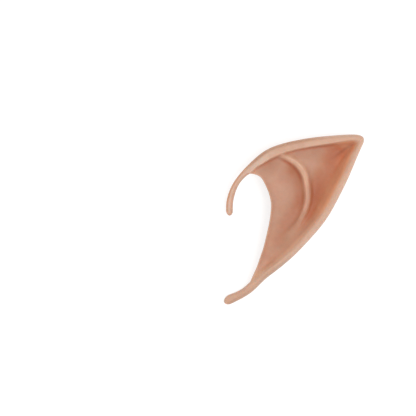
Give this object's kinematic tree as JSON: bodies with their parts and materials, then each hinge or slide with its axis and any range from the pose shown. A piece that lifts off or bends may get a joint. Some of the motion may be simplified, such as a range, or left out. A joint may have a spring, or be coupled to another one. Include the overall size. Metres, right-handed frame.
{
  "type": "elf ear tip",
  "caption": "Hollow soft latex cover that slips over the top of a left ear and carries it out to a long point, with a moulded rim, inner fold, hook arm and tail.",
  "frame": {"origin": "middle of the footprint at the height of the flat middle of the back wall, on which the piece lies", "axes": "+Z out of the front face, +Y up the ear along its height, +X towards the side of the pointed tip"},
  "size_m": [0.0646, 0.0787, 0.0148],
  "materials": {
    "latex": "soft matte skin-coloured latex, slightly mottled"
  },
  "bodies": {
    "root": {"ear_tip": "latex"}
  },
  "joints": []
}
